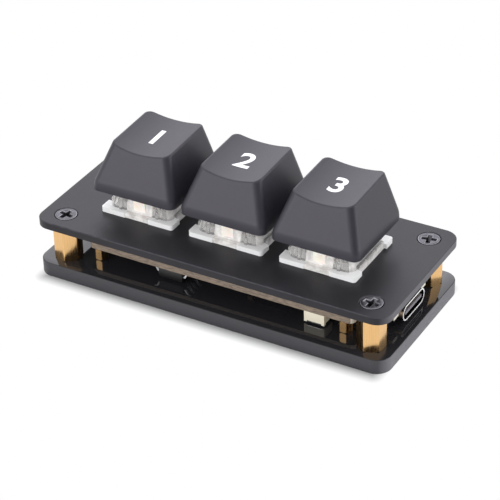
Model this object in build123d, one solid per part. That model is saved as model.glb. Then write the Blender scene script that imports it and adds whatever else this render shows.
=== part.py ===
from build123d import *
from math import cos, sin, sqrt, tau
import os

os.makedirs("parts", exist_ok=True)

# Frame: millimetres, Z up from the table, X along the row of keys, +Y to the rear.
# Origin: middle of the underside of the bottom plate.

# Plates
plate_length = 73.8
plate_depth = 32.0
plate_corner_radius = 3.0
bottom_thickness = 3.0
top_thickness = 1.5
edge_break = 0.15  # broken edges of the metal top plate

# Countersunk screws
screw_edge_x = 4.7  # screw axis to the short edge of a plate
screw_edge_y = 4.25  # screw axis to the long edge of a plate
screw_diameter = 2.5
screw_head_diameter = 4.2
screw_head_rim = 0.2
screw_sink = 0.13  # face of the head below the face of the plate
screw_bite = 3.2  # thread length inside a standoff
screw_gap = 0.1  # all round the screw and its head
recess_span = 2.7
recess_width = 0.62
recess_depth = 0.75
screw_turns = {"front_left": 40.0, "front_right": 12.0, "rear_left": 65.0, "rear_right": 30.0}

# Hexagonal standoffs
standoff_flats = 4.8
standoff_chamfer = 0.35
standoff_turns = {"front_left": 14.0, "front_right": -5.0, "rear_left": 22.0, "rear_right": 36.0}

# Key row
key_names = ("left", "middle", "right")
key_pitch = 19.05
key_travel = 4.0
plate_cutout = 14.0
cutout_gap = 0.05  # between a switch and its cut-out
slide_gap = 0.15  # between sliding faces
seat_gap = 0.05  # between pieces that rest on each other inside a switch
travel_room = 0.6  # left under a stem that is pressed home

# Lower housing of a switch, from the top face of the plate
flange_size = 15.6
flange_height = 1.0
flange_corner_radius = 0.6
switch_depth = 5.0  # plate top to board
housing_floor = 1.6
post_diameter = 4.0
post_length = 3.3  # below the housing
post_end_wall = 0.9
guide_tube_diameter = 3.2
guide_tube_height = 2.5
cavity_side_room = 1.1  # beside the stem's shoulder
cavity_leaf_room = 0.35  # beside the wider leaf
cavity_front_room = 0.4
cavity_rear_room = 0.4  # behind the rear leaf
led_slot_width = 5.2
led_slot_wall = 0.6
front_notch_depth = 0.95
side_notch_length = 10.0
side_notch_depth = 0.85

# Upper housing of a switch
upper_setback = 1.1  # inside the edge of the flange
upper_base_radius = 1.6
upper_top_width = 11.0
upper_top_depth = 10.6
upper_top_radius = 1.2
upper_height = 5.6  # above the flange
upper_wall = 0.8
upper_roof = 1.0
lip_height = 1.05
clip_rib_width = 0.6
clip_rib_proud = 0.25
clip_rib_height = 2.6
clip_rib_x = 4.0
side_rib_length = 3.1
side_rib_spacing = 3.25
side_rib_height = 0.6
side_rib_setback = 0.5  # inside the edge of the flange

# Light guide and light
guide_width = 2.5
guide_depth = 1.6
guide_front = 6.55
guide_top = 4.1  # above the plate
led_width = 3.2
led_depth = 2.2
led_height = 1.1
led_lens_diameter = 1.7
led_lens_depth = 0.2
led_guide_gap = 0.2

# Stem
slider_width = 7.0
slider_depth = 5.6
shoulder_room = 0.2  # beside the shoulder, under the roof
shoulder_depth = 6.6
cross_span = 4.0
cross_width_x = 1.3
cross_width_y = 1.1
cross_height = 3.7
pole_diameter = 2.0
pole_room = 0.8  # under a pole that is pressed home
spring_pocket_depth = 2.0

# Spring
spring_outer = 4.2
spring_wire = 0.3
spring_turns = 6.5
spring_test_points = 24  # to the turn

# Contacts of a switch, from the switch's axis
pin_places = ((-3.81, 2.54), (2.54, 5.08))
pin_width = 1.0
pin_thickness = 0.45
pin_gap = 0.05
leaf_width = 2.8
leaf_thickness = 0.2
leaf_rear_places = (4.6, 5.3)
leaf_top = 0.6
contact_head = 0.4

# Keycap, from the top face of the plate
cap_floor_gap = 0.1  # skirt to the lip of the switch, pressed home
cap_spacing = 1.15  # between the skirts of two caps
cap_base_radius = 1.5
cap_rim = 1.3  # height of the upright rim, where the sides begin to slope
cap_rim_blend = 0.6  # length over which the rim bends into the slope
cap_bend_heights = (0, 0.7, 1.4, 2.2)  # outlines along the rim and its bend
cap_height = 8.45  # skirt to the lowest line of the dish
cap_top_width = 12.4
cap_top_depth = 13.5
cap_top_radius = 1.55
cap_top_shift = 1.25  # the top lies a little to the rear
cap_top_tilt = 1.9
cap_dish_radius = 22.5
cap_dish_room = 1.0
cap_edge_fillet = 0.4
cap_wall = 1.2
cap_roof = 1.4
cap_least_radius = 0.4
boss_inset = 0.1  # inside the depth of the slider
boss_gap = 0.05
socket_gap = 0.04

# Circuit board
board_end_gap = 4.05  # end of the board to the axes of the standoffs
board_depth = 22.0
board_corner_radius = 1.2
board_thickness = 1.6
board_under_post = 0.8  # room between a switch's post and the bottom plate
board_standoff_gap = 1.6
board_post_hole_gap = 0.05
board_pin_hole = 1.5

# Slim posts that carry the board
board_post_flats = 2.4
board_post_inset_x = 2.1
board_post_inset_y = 1.3

# USB-C socket
usb_setback = 2.0  # from the short edge of the plates
usb_width = 8.94
usb_height = 3.2
usb_length = 7.35
usb_wall = 0.3
usb_sink = 0.1  # top of the shell below the top of the board
usb_side_gap = 0.12
usb_board_setback = 0.85
usb_board_width = 13.2  # the end of the board that holds the socket
usb_insulator_length = 1.6
usb_fit_gap = 0.03
usb_tongue_width = 6.69
usb_tongue_thickness = 0.6
usb_tongue_setback = 0.1
usb_contact_count = 12
usb_contact_pitch = 0.5
usb_contact_width = 0.26
usb_contact_height = 0.1
usb_contact_length = 3.4
usb_contact_setback = 0.3
usb_ear_length = 1.2
usb_ear_reach = 1.4
usb_ear_thickness = 0.25
usb_ear_places = (1.8, 4.8)

# Chips under the board
controller_size = 7.0
controller_height = 0.9
controller_y = -4.0
controller_pad_count = 14
controller_pad_pitch = 0.4
controller_pad_width = 0.2
controller_pad_length = 0.4
controller_pad_height = 0.05
chip_pin_mark_diameter = 0.8
chip_pin_mark_depth = 0.1
flash_width = 5.2
flash_length = 5.2
flash_height = 1.9
flash_lift = 0.15  # between the body and the board
flash_inset = 0.1  # body to the front edge of the board
flash_shift = 0.65  # to the left of the middle between two keys
flash_lead_span = 7.9
flash_lead_pitch = 1.27
flash_lead_rows = 4
flash_lead_width = 0.42
lead_thickness = 0.2
lead_foot = 0.6
lead_shoulder = 0.35
regulator_reach = 3.4  # from the back of the socket
regulator_y = -5.2
regulator_width = 1.6
regulator_length = 2.9
regulator_height = 1.0
regulator_lift = 0.1
regulator_lead_span = 2.8
regulator_lead_pitch = 0.95
regulator_lead_rows = 3
regulator_lead_width = 0.38
crystal_gap = 0.6  # behind the controller
crystal_width = 3.2
crystal_depth = 2.5
crystal_height = 0.7
crystal_corner = 0.3
crystal_lid_inset = 0.25
crystal_lid_height = 0.15
chip_part_length = 1.6
chip_part_width = 0.8
chip_end_length = 0.3
chip_part_spacing = 1.8
chip_part_gap = 1.0  # beside the controller, the regulator or the flash chip
capacitor_height = 0.8
capacitor_steps = (-1, 0, 1)
resistor_height = 0.5
resistor_steps = (0, 1)
resistor_y = 6.0

# Push switch under the front edge of the board
boot_post_spacing = 5.8  # to the left of the front right post
boot_width = 4.1
boot_depth = 3.2
boot_height = 1.9
boot_foot_width = 0.55
boot_foot_depth = 0.7
boot_foot_height = 0.3
boot_cover_thickness = 0.15
boot_cover_margin = 0.6
boot_button_width = 2.0
boot_button_depth = 1.1
boot_button_proud = 0.25
boot_button_flange = 0.25
boot_button_flange_height = 0.3
boot_travel = 0.2
boot_gap = 0.1

# Heights that follow
switch_reach = switch_depth + post_length
standoff_height = switch_reach + board_under_post - top_thickness
bottom_top = bottom_thickness
plate_under = bottom_top + standoff_height
plate_top = plate_under + top_thickness
board_top = plate_top - switch_depth
board_under = board_top - board_thickness
cap_skirt = lip_height + cap_floor_gap + key_travel
cap_full_height = cap_height + cap_dish_room
flange_top = flange_height
upper_top = flange_top + upper_height
roof_under = upper_top - upper_roof
floor_top = -switch_depth + housing_floor
shoulder_top = roof_under - seat_gap
shoulder_under = floor_top + contact_head + travel_room + key_travel
slider_top = upper_top - seat_gap
cross_top = slider_top + cross_height
pocket_top = shoulder_under + spring_pocket_depth
pole_end = -switch_reach + post_end_wall + pole_room + key_travel

# Plan places that follow
screw_x = plate_length / 2 - screw_edge_x
screw_y = plate_depth / 2 - screw_edge_y
corners = {
    "front_left": (-screw_x, -screw_y),
    "front_right": (screw_x, -screw_y),
    "rear_left": (-screw_x, screw_y),
    "rear_right": (screw_x, screw_y),
}
key_places = [(step * key_pitch, 0) for step in (-1, 0, 1)]
standoff_radius = standoff_flats / sqrt(3)
board_half_x = screw_x - board_end_gap
board_relief = standoff_radius + board_standoff_gap
board_front = -board_depth / 2
board_post_x = board_half_x - board_post_inset_x
board_post_y = board_depth / 2 - board_post_inset_y
usb_face_x = plate_length / 2 - usb_setback
usb_back_x = usb_face_x - usb_length
usb_middle_z = board_top - usb_sink - usb_height / 2
tongue_end_x = usb_face_x - usb_board_setback
cap_base = key_pitch - cap_spacing
upper_base = flange_size - 2 * upper_setback
shoulder_width = upper_top_width - 2 * upper_wall - 2 * shoulder_room
leaf_reach = max(abs(x) for x, y in pin_places) + leaf_width / 2
cavity_width = 2 * max(shoulder_width / 2 + cavity_side_room, leaf_reach + cavity_leaf_room)
cavity_front = shoulder_depth / 2 + cavity_front_room
cavity_rear = max(leaf_rear_places) + leaf_thickness + cavity_rear_room
led_slot_rear = cavity_front + led_slot_wall
boss_diameter = slider_depth - boss_inset
controller_place = (key_pitch / 2, controller_y)
flash_place = (-key_pitch / 2 - flash_shift, board_front + flash_inset + flash_length / 2)
crystal_place = (key_pitch / 2, controller_y + controller_size / 2 + crystal_gap + crystal_depth / 2)
regulator_place = (usb_back_x - regulator_reach, regulator_y)
capacitor_column = (key_pitch - controller_size - chip_part_length) / 2 - chip_part_gap
capacitor_places = [(capacitor_column, controller_y + step * chip_part_spacing) for step in capacitor_steps]
capacitor_places.append((regulator_place[0], regulator_y + regulator_length / 2 + chip_part_gap))
capacitor_places.append((flash_place[0], flash_place[1] + flash_length / 2 + chip_part_gap))
resistor_places = [(regulator_place[0], resistor_y + step * chip_part_spacing) for step in resistor_steps]
boot_place = (board_post_x - boot_post_spacing, board_front + boot_depth / 2)

lower_z = (Align.CENTER, Align.CENTER, Align.MIN)
upper_z = (Align.CENTER, Align.CENTER, Align.MAX)


def block(x_span, y_span, z_span):
    """A box between two limits on each axis."""
    sizes = [high - low for low, high in (x_span, y_span, z_span)]
    low_corner = [low for low, high in (x_span, y_span, z_span)]
    return Pos(*low_corner) * Box(*sizes, align=(Align.MIN, Align.MIN, Align.MIN))


def wide(width):
    """Limits of a width about the middle."""
    return (-width / 2, width / 2)


def prism(sketch, low, high):
    """A sketch on the ground plane, extruded between two heights."""
    return Pos(0, 0, low) * extrude(sketch, high - low)


def rod(diameter, low, high):
    return Pos(0, 0, low) * Cylinder(diameter / 2, high - low, align=lower_z)


def save(node, solids):
    shape = solids[0] if len(solids) == 1 else Compound(children=solids)
    export_step(shape, f"parts/{node}.step")


# Screws

head_cone = (screw_head_diameter - screw_diameter) / 2


def screw_body(length, gap):
    """A countersunk screw, head up with its face at zero, grown by a gap all round."""
    head = rod(screw_head_diameter + 2 * gap, -screw_head_rim, 0)
    cone = Pos(0, 0, -screw_head_rim) * Cone(
        screw_diameter / 2 + gap, screw_head_diameter / 2 + gap, head_cone, align=upper_z
    )
    return head + cone + rod(screw_diameter + 2 * gap, -length, 0)


def screw(length):
    """A screw whose tip lies a length below the face of its plate."""
    recess = block(wide(recess_span), wide(recess_width), (-recess_depth, 0))
    body = screw_body(length - screw_sink, 0) - recess - Rot(0, 0, 90) * recess
    return Pos(0, 0, -screw_sink) * body


def screw_hole(length):
    """A countersunk hole, flared from the head up to the face of its plate."""
    mouth = screw_head_diameter / 2 + screw_gap
    flare = Cone(mouth, mouth + screw_sink, screw_sink, align=upper_z)
    return Pos(0, 0, -screw_sink) * screw_body(length - screw_sink, screw_gap) + flare


def at_corners(shape, height, over=False):
    """A screw or its hole at every corner, head up, or head down from below."""
    flip = Rot(180, 0, 0) if over else Rot(0, 0, 0)
    return [
        Pos(x, y, height) * Rot(0, 0, screw_turns[corner]) * flip * shape
        for corner, (x, y) in corners.items()
    ]


# Plates

plate_outline = RectangleRounded(plate_length, plate_depth, plate_corner_radius)


def top_plate():
    plate = prism(plate_outline, plate_under, plate_top)
    plate = chamfer(plate.faces().sort_by(Axis.Z)[-1].edges(), edge_break)
    cutout = block(wide(plate_cutout), wide(plate_cutout), (plate_under, plate_top))
    for x, y in key_places:
        plate -= Pos(x, y, 0) * cutout
    for hole in at_corners(screw_hole(top_thickness), plate_top):
        plate -= hole
    return plate


def bottom_plate():
    plate = prism(plate_outline, 0, bottom_top)
    for hole in at_corners(screw_hole(bottom_thickness), 0, over=True):
        plate -= hole
    return plate


def standoff(turn):
    hexagon = RegularPolygon(standoff_flats / 2, 6, major_radius=False)
    barrel = rod(2 * standoff_radius, bottom_top, plate_under)
    barrel = chamfer(barrel.edges().filter_by(GeomType.CIRCLE), standoff_chamfer)
    bore = rod(screw_diameter + 2 * screw_gap, bottom_top, plate_under)
    flat_to_corner = 30  # the hexagon is drawn with a corner on X, and turned by its flat
    return Rot(0, 0, turn - flat_to_corner) * (prism(hexagon, bottom_top, plate_under) & barrel) - bore


# Circuit board and its posts


def circuit_board():
    main = RectangleRounded(2 * board_half_x, board_depth, board_corner_radius)
    tongue = Pos(tongue_end_x / 2, 0) * Rectangle(tongue_end_x, usb_board_width)
    slot_width = usb_width + 2 * usb_side_gap
    slot_length = usb_length + usb_side_gap
    slot = Pos(usb_face_x - slot_length / 2, 0) * Rectangle(slot_length, slot_width)
    outline = main + tongue - slot
    for x, y in corners.values():
        outline -= Pos(x, y) * Circle(board_relief)
    for x, y in key_places:
        outline -= Pos(x, y) * Circle(post_diameter / 2 + board_post_hole_gap)
        for pin_x, pin_y in pin_places:
            outline -= Pos(x + pin_x, y + pin_y) * Circle(board_pin_hole / 2)
    return prism(outline, board_under, board_top)


def board_posts():
    hexagon = RegularPolygon(board_post_flats / 2, 6, major_radius=False)
    post = prism(hexagon, bottom_top, board_under)
    return [Pos(sx * board_post_x, sy * board_post_y, 0) * post for sx in (-1, 1) for sy in (-1, 1)]


# USB-C socket, lying along X with its mouth to the right

usb_plane = Plane(origin=(usb_back_x, 0, usb_middle_z), x_dir=(0, 1, 0), z_dir=(1, 0, 0))


def usb_stadium(inset, start, length):
    outline = SlotOverall(usb_width - 2 * inset, usb_height - 2 * inset)
    return extrude(usb_plane.offset(start) * outline, length)


def usb_shell():
    shell = usb_stadium(0, 0, usb_length) - usb_stadium(usb_wall, 0, usb_length)
    inner_y = usb_width / 2 - usb_wall
    outer_y = usb_width / 2 + usb_ear_reach
    for place in usb_ear_places:
        x_span = (usb_back_x + place, usb_back_x + place + usb_ear_length)
        z_span = (board_under - usb_ear_thickness, board_under)
        shell += block(x_span, (inner_y, outer_y), z_span)
        shell += block(x_span, (-outer_y, -inner_y), z_span)
    return shell


tongue_front_x = usb_face_x - usb_tongue_setback
half_tongue = usb_tongue_thickness / 2


def usb_insulator():
    plug = usb_stadium(usb_wall + usb_fit_gap, 0, usb_insulator_length)
    tongue = block(
        (usb_back_x, tongue_front_x),
        wide(usb_tongue_width),
        (usb_middle_z - half_tongue, usb_middle_z + half_tongue),
    )
    return plug + tongue


def usb_contacts():
    front = tongue_front_x - usb_contact_setback
    strips = []
    for place in range(usb_contact_count):
        y = (place - (usb_contact_count - 1) / 2) * usb_contact_pitch
        y_span = (y - usb_contact_width / 2, y + usb_contact_width / 2)
        for low in (half_tongue, -half_tongue - usb_contact_height):
            z_span = (usb_middle_z + low, usb_middle_z + low + usb_contact_height)
            strips.append(block((front - usb_contact_length, front), y_span, z_span))
    return strips


# Chips, drawn as they hang: the board's underside is at zero


def gull_lead(body_half, toe, shoulder_z, width):
    """One bent lead on the +X side of a chip, from its foot on the board to its body."""
    heel = toe - lead_foot
    bend = body_half + lead_shoulder
    profile = Polyline(
        (body_half, shoulder_z),
        (bend, shoulder_z),
        (heel + lead_thickness, -lead_thickness),
        (toe, -lead_thickness),
        (toe, 0),
        (heel, 0),
        (bend - lead_thickness, shoulder_z + lead_thickness),
        (body_half, shoulder_z + lead_thickness),
        close=True,
    )
    return extrude(Plane.XZ * make_face(profile), width / 2, both=True)


def lead_rows(lead, pitch, counts):
    """Leads on both sides of a chip, spread along Y."""
    leads = []
    for side, count in zip((0, 180), counts):
        for place in range(count):
            y = (place - (count - 1) / 2) * pitch
            leads.append(Rot(0, 0, side) * (Pos(0, y, 0) * lead))
    return leads


def under_board(place, shapes):
    return [Pos(place[0], place[1], board_under) * shape for shape in shapes]


def pin_mark(x, y, face):
    return Pos(x, y, face) * Cylinder(chip_pin_mark_diameter / 2, chip_pin_mark_depth, align=lower_z)


def controller_chip():
    half = controller_size / 2
    z_span = (-controller_height, -controller_pad_height)
    body = block(wide(controller_size), wide(controller_size), z_span)
    mark_place = half - chip_pin_mark_diameter
    body -= pin_mark(-mark_place, -mark_place, -controller_height)
    return body


def controller_pads():
    half = controller_size / 2
    x_span = (half - controller_pad_length, half)
    pads = []
    for turn in (0, 90, 180, 270):
        for place in range(controller_pad_count):
            y = (place - (controller_pad_count - 1) / 2) * controller_pad_pitch
            y_span = (y - controller_pad_width / 2, y + controller_pad_width / 2)
            pads.append(Rot(0, 0, turn) * block(x_span, y_span, (-controller_pad_height, 0)))
    return pads


flash_face = -flash_lift - flash_height
flash_shoulder = -flash_lift - flash_height / 2 - lead_thickness / 2


def flash_body():
    body = block(wide(flash_width), wide(flash_length), (flash_face, -flash_lift))
    mark_x = -flash_width / 2 + chip_pin_mark_diameter
    mark_y = flash_length / 2 - chip_pin_mark_diameter
    return body - pin_mark(mark_x, mark_y, flash_face)


def flash_leads():
    lead = gull_lead(flash_width / 2, flash_lead_span / 2, flash_shoulder, flash_lead_width)
    return lead_rows(lead, flash_lead_pitch, (flash_lead_rows, flash_lead_rows))


regulator_face = -regulator_lift - regulator_height
regulator_shoulder = -regulator_lift - regulator_height / 2 - lead_thickness / 2


def regulator_body():
    return block(wide(regulator_width), wide(regulator_length), (regulator_face, -regulator_lift))


def regulator_leads():
    toe = regulator_lead_span / 2 + lead_shoulder
    lead = gull_lead(regulator_width / 2, toe, regulator_shoulder, regulator_lead_width)
    return lead_rows(lead, regulator_lead_pitch, (regulator_lead_rows, regulator_lead_rows - 1))


def crystal():
    body_face = -crystal_height + crystal_lid_height
    body = prism(RectangleRounded(crystal_width, crystal_depth, crystal_corner), body_face, 0)
    lid_width = crystal_width - 2 * crystal_lid_inset
    lid_depth = crystal_depth - 2 * crystal_lid_inset
    lid = prism(RectangleRounded(lid_width, lid_depth, crystal_corner), -crystal_height, body_face)
    return body + lid


def chip_parts(places, height):
    """Small two-ended parts, each a body with a metal cap at either end."""
    solids = []
    for place in places:
        body = block(wide(chip_part_length - 2 * chip_end_length), wide(chip_part_width), (-height, 0))
        end_span = (chip_part_length / 2 - chip_end_length, chip_part_length / 2)
        end = block(end_span, wide(chip_part_width), (-height, 0))
        solids += under_board(place, [body, end, Rot(0, 0, 180) * end])
    return solids


# Push switch under the board: base, cover plate and button, drawn as it hangs

boot_cover_face = -boot_height - boot_cover_thickness
boot_flange_under = -boot_height + seat_gap
boot_flange_top = boot_flange_under + boot_button_flange_height
boot_well_width = boot_button_width + 2 * (boot_button_flange + boot_gap)
boot_well_depth = boot_button_depth + 2 * (boot_button_flange + boot_gap)


def boot_base():
    base = block(wide(boot_width), wide(boot_depth), (-boot_height, 0))
    well_top = boot_flange_top + boot_travel + boot_gap
    base -= block(wide(boot_well_width), wide(boot_well_depth), (-boot_height, well_top))
    x_inner = boot_width / 2 - boot_foot_width
    y_span = (-boot_depth / 2, -boot_depth / 2 + boot_foot_depth)
    z_span = (-boot_height - boot_foot_height, -boot_height)
    base += block((x_inner, boot_width / 2), y_span, z_span)
    base += block((-boot_width / 2, -x_inner), y_span, z_span)
    return base


def boot_cover():
    width = boot_width - 2 * boot_cover_margin
    cover = block(wide(width), wide(boot_depth), (boot_cover_face, -boot_height))
    window_width = boot_button_width + 2 * boot_gap
    window_depth = boot_button_depth + 2 * boot_gap
    cover -= block(wide(window_width), wide(window_depth), (boot_cover_face, -boot_height))
    return cover


def boot_button():
    tip = boot_cover_face - boot_button_proud
    button = prism(SlotOverall(boot_button_width, boot_button_depth), tip, boot_flange_top)
    flange_width = boot_button_width + 2 * boot_button_flange
    flange_depth = boot_button_depth + 2 * boot_button_flange
    flange = block(wide(flange_width), wide(flange_depth), (boot_flange_under, boot_flange_top))
    return button + flange


# Key switch, drawn about its own axis with the top face of the plate at zero

body_size = plate_cutout - 2 * cutout_gap
half_flange = flange_size / 2
half_widest = max(flange_size, body_size) / 2
bore_diameter = pole_diameter + 2 * slide_gap


def lower_housing():
    housing = block(wide(body_size), wide(body_size), (-switch_depth, 0))
    flange = prism(RectangleRounded(flange_size, flange_size, flange_corner_radius), 0, flange_top)
    housing += flange
    housing -= block(wide(cavity_width), (-cavity_front, cavity_rear), (floor_top, flange_top))
    slot_height = (-switch_depth, flange_top)
    housing -= block(wide(led_slot_width), (-half_widest, -led_slot_rear), slot_height)
    notch_y = half_flange - front_notch_depth
    housing -= block(wide(led_slot_width), (notch_y, half_flange), (0, flange_top))
    notch_x = half_flange - side_notch_depth
    for side in (0, 180):
        notch = block((notch_x, half_flange), wide(side_notch_length), (0, flange_top))
        housing -= Rot(0, 0, side) * notch
    housing += rod(guide_tube_diameter, floor_top, floor_top + guide_tube_height)
    housing += rod(post_diameter, -switch_reach, floor_top)
    housing -= rod(bore_diameter, -switch_reach + post_end_wall, floor_top + guide_tube_height)
    for x, y in pin_places:
        hole_width = pin_width + 2 * pin_gap
        hole_depth = pin_thickness + 2 * pin_gap
        housing -= Pos(x, y, 0) * block(wide(hole_width), wide(hole_depth), (-switch_depth, floor_top))
    return housing


def upper_housing():
    base = Plane.XY.offset(flange_top)
    roof = Plane.XY.offset(upper_top)
    outer = loft([
        base * RectangleRounded(upper_base, upper_base, upper_base_radius),
        roof * RectangleRounded(upper_top_width, upper_top_depth, upper_top_radius),
    ], ruled=True)
    inner_base = upper_base - 2 * upper_wall
    inner_width = upper_top_width - 2 * upper_wall
    inner_depth = upper_top_depth - 2 * upper_wall
    ceiling = Plane.XY.offset(roof_under)
    inner = loft([
        base * RectangleRounded(inner_base, inner_base, upper_base_radius - upper_wall),
        ceiling * RectangleRounded(inner_width, inner_depth, upper_top_radius - upper_wall),
    ], ruled=True)
    housing = outer - inner
    opening_width = slider_width + 2 * slide_gap
    opening_depth = slider_depth + 2 * slide_gap
    housing -= block(wide(opening_width), wide(opening_depth), (roof_under, upper_top))
    # ribs on the front wall, and a lip that fills the gap in the front of the flange
    front = upper_base / 2
    wall_face = front - upper_wall
    rib_y = (-front - clip_rib_proud, -wall_face)
    for x in (-clip_rib_x, clip_rib_x):
        x_span = (x - clip_rib_width / 2, x + clip_rib_width / 2)
        housing += block(x_span, rib_y, (flange_top, flange_top + clip_rib_height)) - inner
    lip_x = wide(led_slot_width - 2 * seat_gap)
    lip = block(lip_x, (-half_flange + seat_gap, -wall_face), (seat_gap, lip_height))
    housing += lip
    # teeth in the notches at the sides of the flange
    notch_x = half_flange - side_notch_depth
    rib_face = half_flange - side_rib_setback
    for side in (0, 180):
        for step in (-1, 0, 1):
            y = step * side_rib_spacing
            y_span = (y - side_rib_length / 2, y + side_rib_length / 2)
            tooth = block((notch_x + seat_gap, rib_face), y_span, (seat_gap, flange_top))
            tooth += block((wall_face, rib_face), y_span, (flange_top, flange_top + side_rib_height))
            housing += Rot(0, 0, side) * (tooth - inner)
    slot_width = guide_width + 2 * seat_gap
    slot_y = (-guide_front - seat_gap, -guide_front + guide_depth + seat_gap)
    housing -= block(wide(slot_width), slot_y, (0, guide_top + seat_gap))
    return housing


def light_guide():
    low = -switch_depth + led_height + led_guide_gap
    return block(wide(guide_width), (-guide_front, -guide_front + guide_depth), (low, guide_top))


def key_led():
    middle_y = -guide_front + guide_depth / 2
    body = block(wide(led_width), (middle_y - led_depth / 2, middle_y + led_depth / 2), (0, led_height))
    lens = Pos(0, middle_y, led_height) * Cylinder(led_lens_diameter / 2, led_lens_depth, align=upper_z)
    return Pos(0, 0, -switch_depth) * (body - lens)


def stem():
    body = block(wide(shoulder_width), wide(shoulder_depth), (shoulder_under, shoulder_top))
    body += block(wide(slider_width), wide(slider_depth), (shoulder_top, slider_top))
    body += block(wide(cross_span), wide(cross_width_y), (slider_top, cross_top))
    body += block(wide(cross_width_x), wide(cross_span), (slider_top, cross_top))
    body -= rod(spring_outer + 2 * slide_gap, shoulder_under, pocket_top)
    body += rod(pole_diameter, pole_end, pocket_top)
    return body


def helix_path(radius, low, high, turns):
    """A helix as pairs of tangent arcs, four pairs to the turn."""
    spans = round(4 * turns)
    climb = (high - low) / (turns * tau)
    edges = []
    for step in range(spans):
        ends = []
        for angle in (tau * step / 4, tau * (step + 1) / 4):
            point = Vector(radius * cos(angle), radius * sin(angle), low + climb * angle)
            course = Vector(-radius * sin(angle), radius * cos(angle), climb).normalized()
            ends.append((point, course))
        (start, start_course), (end, end_course) = ends
        chord = end - start
        both = start_course + end_course
        square = both.dot(both) - 4
        linear = -2 * chord.dot(both)
        reach = (-linear - sqrt(linear**2 - 4 * square * chord.dot(chord))) / (2 * square)
        joint = (start + start_course * reach + end - end_course * reach) * 0.5
        edges.append(TangentArc(start, joint, tangent=start_course))
        edges.append(TangentArc(end, joint, tangent=end_course * -1))
    return Wire(edges)


def least_gap(path):
    """Least distance between points half a turn or more apart, less the wire."""
    count = round(spring_turns * spring_test_points)
    points = [path @ (step / count) for step in range(count + 1)]
    apart = spring_test_points // 2
    spans = [(b - a).length for place, a in enumerate(points) for b in points[place + apart:]]
    return min(spans) - spring_wire


def spring():
    """An open coil from the floor of the lower housing to the pocket in the stem."""
    low = floor_top + spring_wire / 2 + seat_gap
    high = pocket_top - spring_wire / 2 - seat_gap
    radius = (spring_outer - spring_wire) / 2
    path = helix_path(radius, low, high, spring_turns)
    print("spring: least gap between turns", round(least_gap(path), 3), "mm")
    profile = Plane(origin=path @ 0, z_dir=path % 0) * Circle(spring_wire / 2)
    return sweep(profile, path=path)


def contacts():
    """Two pins that end in upright leaves behind the stem."""
    solids = []
    for (x, y), leaf_y in zip(pin_places, leaf_rear_places):
        pin_y = (y - pin_thickness / 2, y + pin_thickness / 2)
        pin_x = (x - pin_width / 2, x + pin_width / 2)
        leaf_x = (x - leaf_width / 2, x + leaf_width / 2)
        piece = block(pin_x, pin_y, (-switch_reach, floor_top + contact_head))
        foot_y = (min(pin_y[0], leaf_y), leaf_y + leaf_thickness)
        piece += block(pin_x, foot_y, (floor_top + seat_gap, floor_top + contact_head))
        piece += block(leaf_x, (leaf_y, leaf_y + leaf_thickness), (floor_top + seat_gap, leaf_top))
        solids.append(piece)
    return solids


# Keycap, drawn about the same axis


def cap_slope(height):
    """How far up the slope a height lies: hardly at all along the rim, then evenly."""
    past = height - cap_rim
    return (sqrt(past**2 + cap_rim_blend**2) + past) / 2


def cap_section(height, inset):
    """The cap's outline at a height over its skirt, drawn in by a wall."""
    share = (cap_slope(height) - cap_slope(0)) / (cap_slope(cap_full_height) - cap_slope(0))
    width = cap_base + (cap_top_width - cap_base) * share - 2 * inset
    depth = cap_base + (cap_top_depth - cap_base) * share - 2 * inset
    radius = cap_base_radius + (cap_top_radius - cap_base_radius) * share - inset
    plane = Plane(origin=(0, cap_top_shift * share, cap_skirt + height)).rotated((cap_top_tilt * share, 0, 0))
    return plane * RectangleRounded(width, depth, max(radius, cap_least_radius))


def cap_form(inset, height):
    """The cap's form up to a tilted top: an upright rim, then sloping sides."""
    low = cap_bend_heights[-1]
    bend = loft([cap_section(place, inset) for place in cap_bend_heights])
    return bend + loft([cap_section(place, inset) for place in (low, (low + height) / 2, height)])


def keycap():
    dish = Rot(90, 0, 0) * Cylinder(cap_dish_radius, 2 * cap_base)
    dish_line = Plane(origin=(0, cap_top_shift, cap_skirt + cap_height)).rotated((cap_top_tilt, 0, 0))
    dish = dish_line * Pos(0, 0, cap_dish_radius) * dish
    cap = cap_form(0, cap_full_height) - dish
    top = cap.faces().filter_by(GeomType.CYLINDER).sort_by(Axis.Z)[-1]
    cap = fillet(top.edges(), cap_edge_fillet)
    cap -= cap_form(cap_wall, cap_height - cap_roof)
    boss_low = slider_top + boss_gap
    boss = rod(boss_diameter, boss_low, cap_skirt + cap_height - cap_roof / 2)
    socket_top = cross_top + socket_gap
    span = cross_span + 2 * socket_gap
    boss -= block(wide(span), wide(cross_width_y + 2 * socket_gap), (boss_low, socket_top))
    boss -= block(wide(cross_width_x + 2 * socket_gap), wide(span), (boss_low, socket_top))
    return cap + boss


# Write every node

save("bottom_plate", [bottom_plate()])
save("top_plate", [top_plate()])
for corner, (x, y) in corners.items():
    save(f"standoff_{corner}", [Pos(x, y, 0) * standoff(standoff_turns[corner])])
save("top_screws", at_corners(screw(top_thickness + screw_bite), plate_top))
save("bottom_screws", at_corners(screw(bottom_thickness + screw_bite), 0, over=True))
save("circuit_board", [circuit_board()])
save("board_posts", board_posts())
save("usb_shell", [usb_shell()])
save("usb_insulator", [usb_insulator()])
save("usb_contacts", usb_contacts())
save("controller_chip", under_board(controller_place, [controller_chip()]))
save("controller_pads", under_board(controller_place, controller_pads()))
save("flash_chip", under_board(flash_place, [flash_body()]))
save("flash_chip_leads", under_board(flash_place, flash_leads()))
save("regulator", under_board(regulator_place, [regulator_body()]))
save("regulator_leads", under_board(regulator_place, regulator_leads()))
save("crystal", under_board(crystal_place, [crystal()]))
save("capacitors", chip_parts(capacitor_places, capacitor_height))
save("resistors", chip_parts(resistor_places, resistor_height))
save("boot_switch_base", under_board(boot_place, [boot_base()]))
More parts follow.
